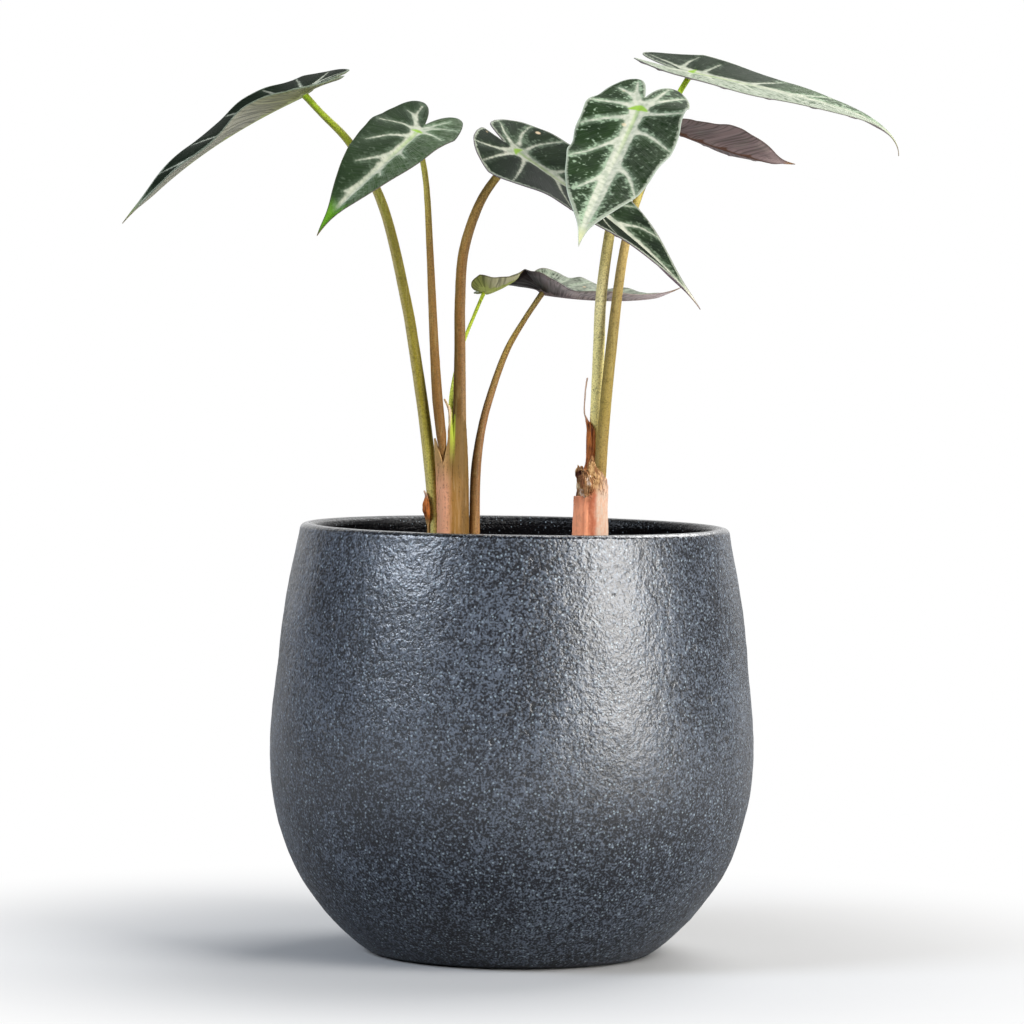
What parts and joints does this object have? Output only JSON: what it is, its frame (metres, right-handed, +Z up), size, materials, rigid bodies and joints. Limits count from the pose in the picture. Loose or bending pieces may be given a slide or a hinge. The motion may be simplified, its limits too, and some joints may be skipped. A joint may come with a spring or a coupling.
{
  "type": "potted houseplant",
  "caption": "Small arrowhead-leaved houseplant on slim upright stems, with pale veins on dark green leaves, rooted in soil in a round-bellied speckled stoneware pot",
  "frame": {"origin": "middle of the pot's flat underside, on the surface that it stands on", "axes": "+Z is up, along the pot's axis and the plant's height; -Y is the front, where the picture was taken from; +X is to the right in the picture"},
  "size_m": [0.303, 0.2025, 0.3547],
  "materials": {
    "pot": "satin",
    "soil": "matte",
    "leaf": "satin",
    "young_leaf": "satin",
    "stem": "satin",
    "young_stem": "satin",
    "sheath": "matte",
    "dry": "matte"
  },
  "bodies": {
    "root": {"pot": "pot", "soil": "soil", "blade_1": "leaf", "blade_2": "leaf", "blade_3": "leaf", "blade_4": "leaf", "blade_5": "leaf", "blade_6": "leaf", "blade_7": "young_leaf", "blade_8": "leaf", "stem_1": "stem", "stem_2": "stem", "stem_3": "stem", "stem_4": "stem", "stem_5": "stem", "stem_6": "stem", "stem_7": "young_stem", "stem_8": "stem", "base_sheath": "sheath", "dry_sheath": "dry", "dry_scale": "dry"}
  },
  "joints": []
}
